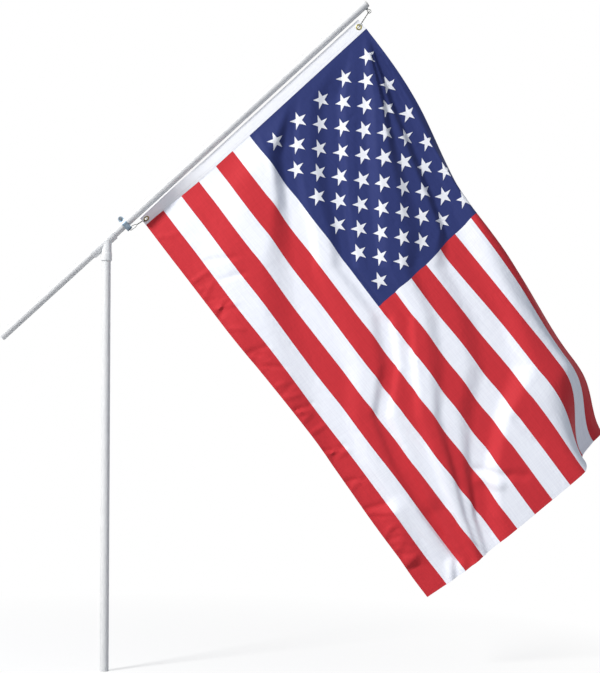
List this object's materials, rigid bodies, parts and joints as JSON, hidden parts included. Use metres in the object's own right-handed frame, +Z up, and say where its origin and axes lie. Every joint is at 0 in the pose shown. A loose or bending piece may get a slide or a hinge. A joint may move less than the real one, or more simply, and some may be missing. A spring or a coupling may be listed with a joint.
{
  "type": "flagpole",
  "caption": "Slanted flagpole of white plastic pipe on an upright post, joined by a wye fitting, with a striped and starred flag hung from a strap clamp and a screw eye by wire snaps.",
  "frame": {"origin": "centre of the post's cut bottom end", "axes": "+Z up along the post; the staff rises from the fitting towards +X and the flag hangs in the X-Z plane; +Y is across the thin direction"},
  "size_m": [1.8819, 0.2304, 2.0619],
  "materials": {
    "pipe_white": "extruded white pipe, satin",
    "fitting_white": "moulded white fitting, satin",
    "plug_white": "turned plug, dull off-white",
    "eye_steel": "dull plated wire",
    "zinc_steel": "bluish zinc plate",
    "snap_wire": "plain spring wire",
    "brass": "dull brass",
    "heading_canvas": "white cotton duck, plain weave",
    "cloth_blue": "navy blue nylon, plain weave",
    "cloth_red": "red nylon, plain weave",
    "cloth_white": "white nylon, plain weave"
  },
  "bodies": {
    "pole": {"post_pipe": "pipe_white", "staff_pipe": "pipe_white", "lower_arm_pipe": "pipe_white", "wye_fitting": "fitting_white", "tip_plug": "plug_white", "tip_screw_eye": "eye_steel", "eye_nut": "zinc_steel", "clamp_strap": "zinc_steel", "clamp_bolt": "zinc_steel", "clamp_nut": "zinc_steel"},
    "flag": {"heading": "heading_canvas", "grommet_lower": "brass", "grommet_upper": "brass", "snap_lower": "snap_wire", "snap_upper": "snap_wire", "canton": "cloth_blue", "stripe_01_red": "cloth_red", "stripe_02_white": "cloth_white", "stripe_03_red": "cloth_red", "stripe_04_white": "cloth_white", "stripe_05_red": "cloth_red", "stripe_06_white": "cloth_white", "stripe_07_red": "cloth_red", "stripe_08_white": "cloth_white", "stripe_09_red": "cloth_red", "stripe_10_white": "cloth_white", "stripe_11_red": "cloth_red", "stripe_12_white": "cloth_white", "stripe_13_red": "cloth_red"}
  },
  "joints": [
    {"name": "flag_swing", "type": "hinge", "parent": "pole", "child": "flag", "pos_m": [0.07156, 0, 1.34869], "axis": [0.7367, 0, 0.6762], "range_deg": [-35, 60]}
  ]
}
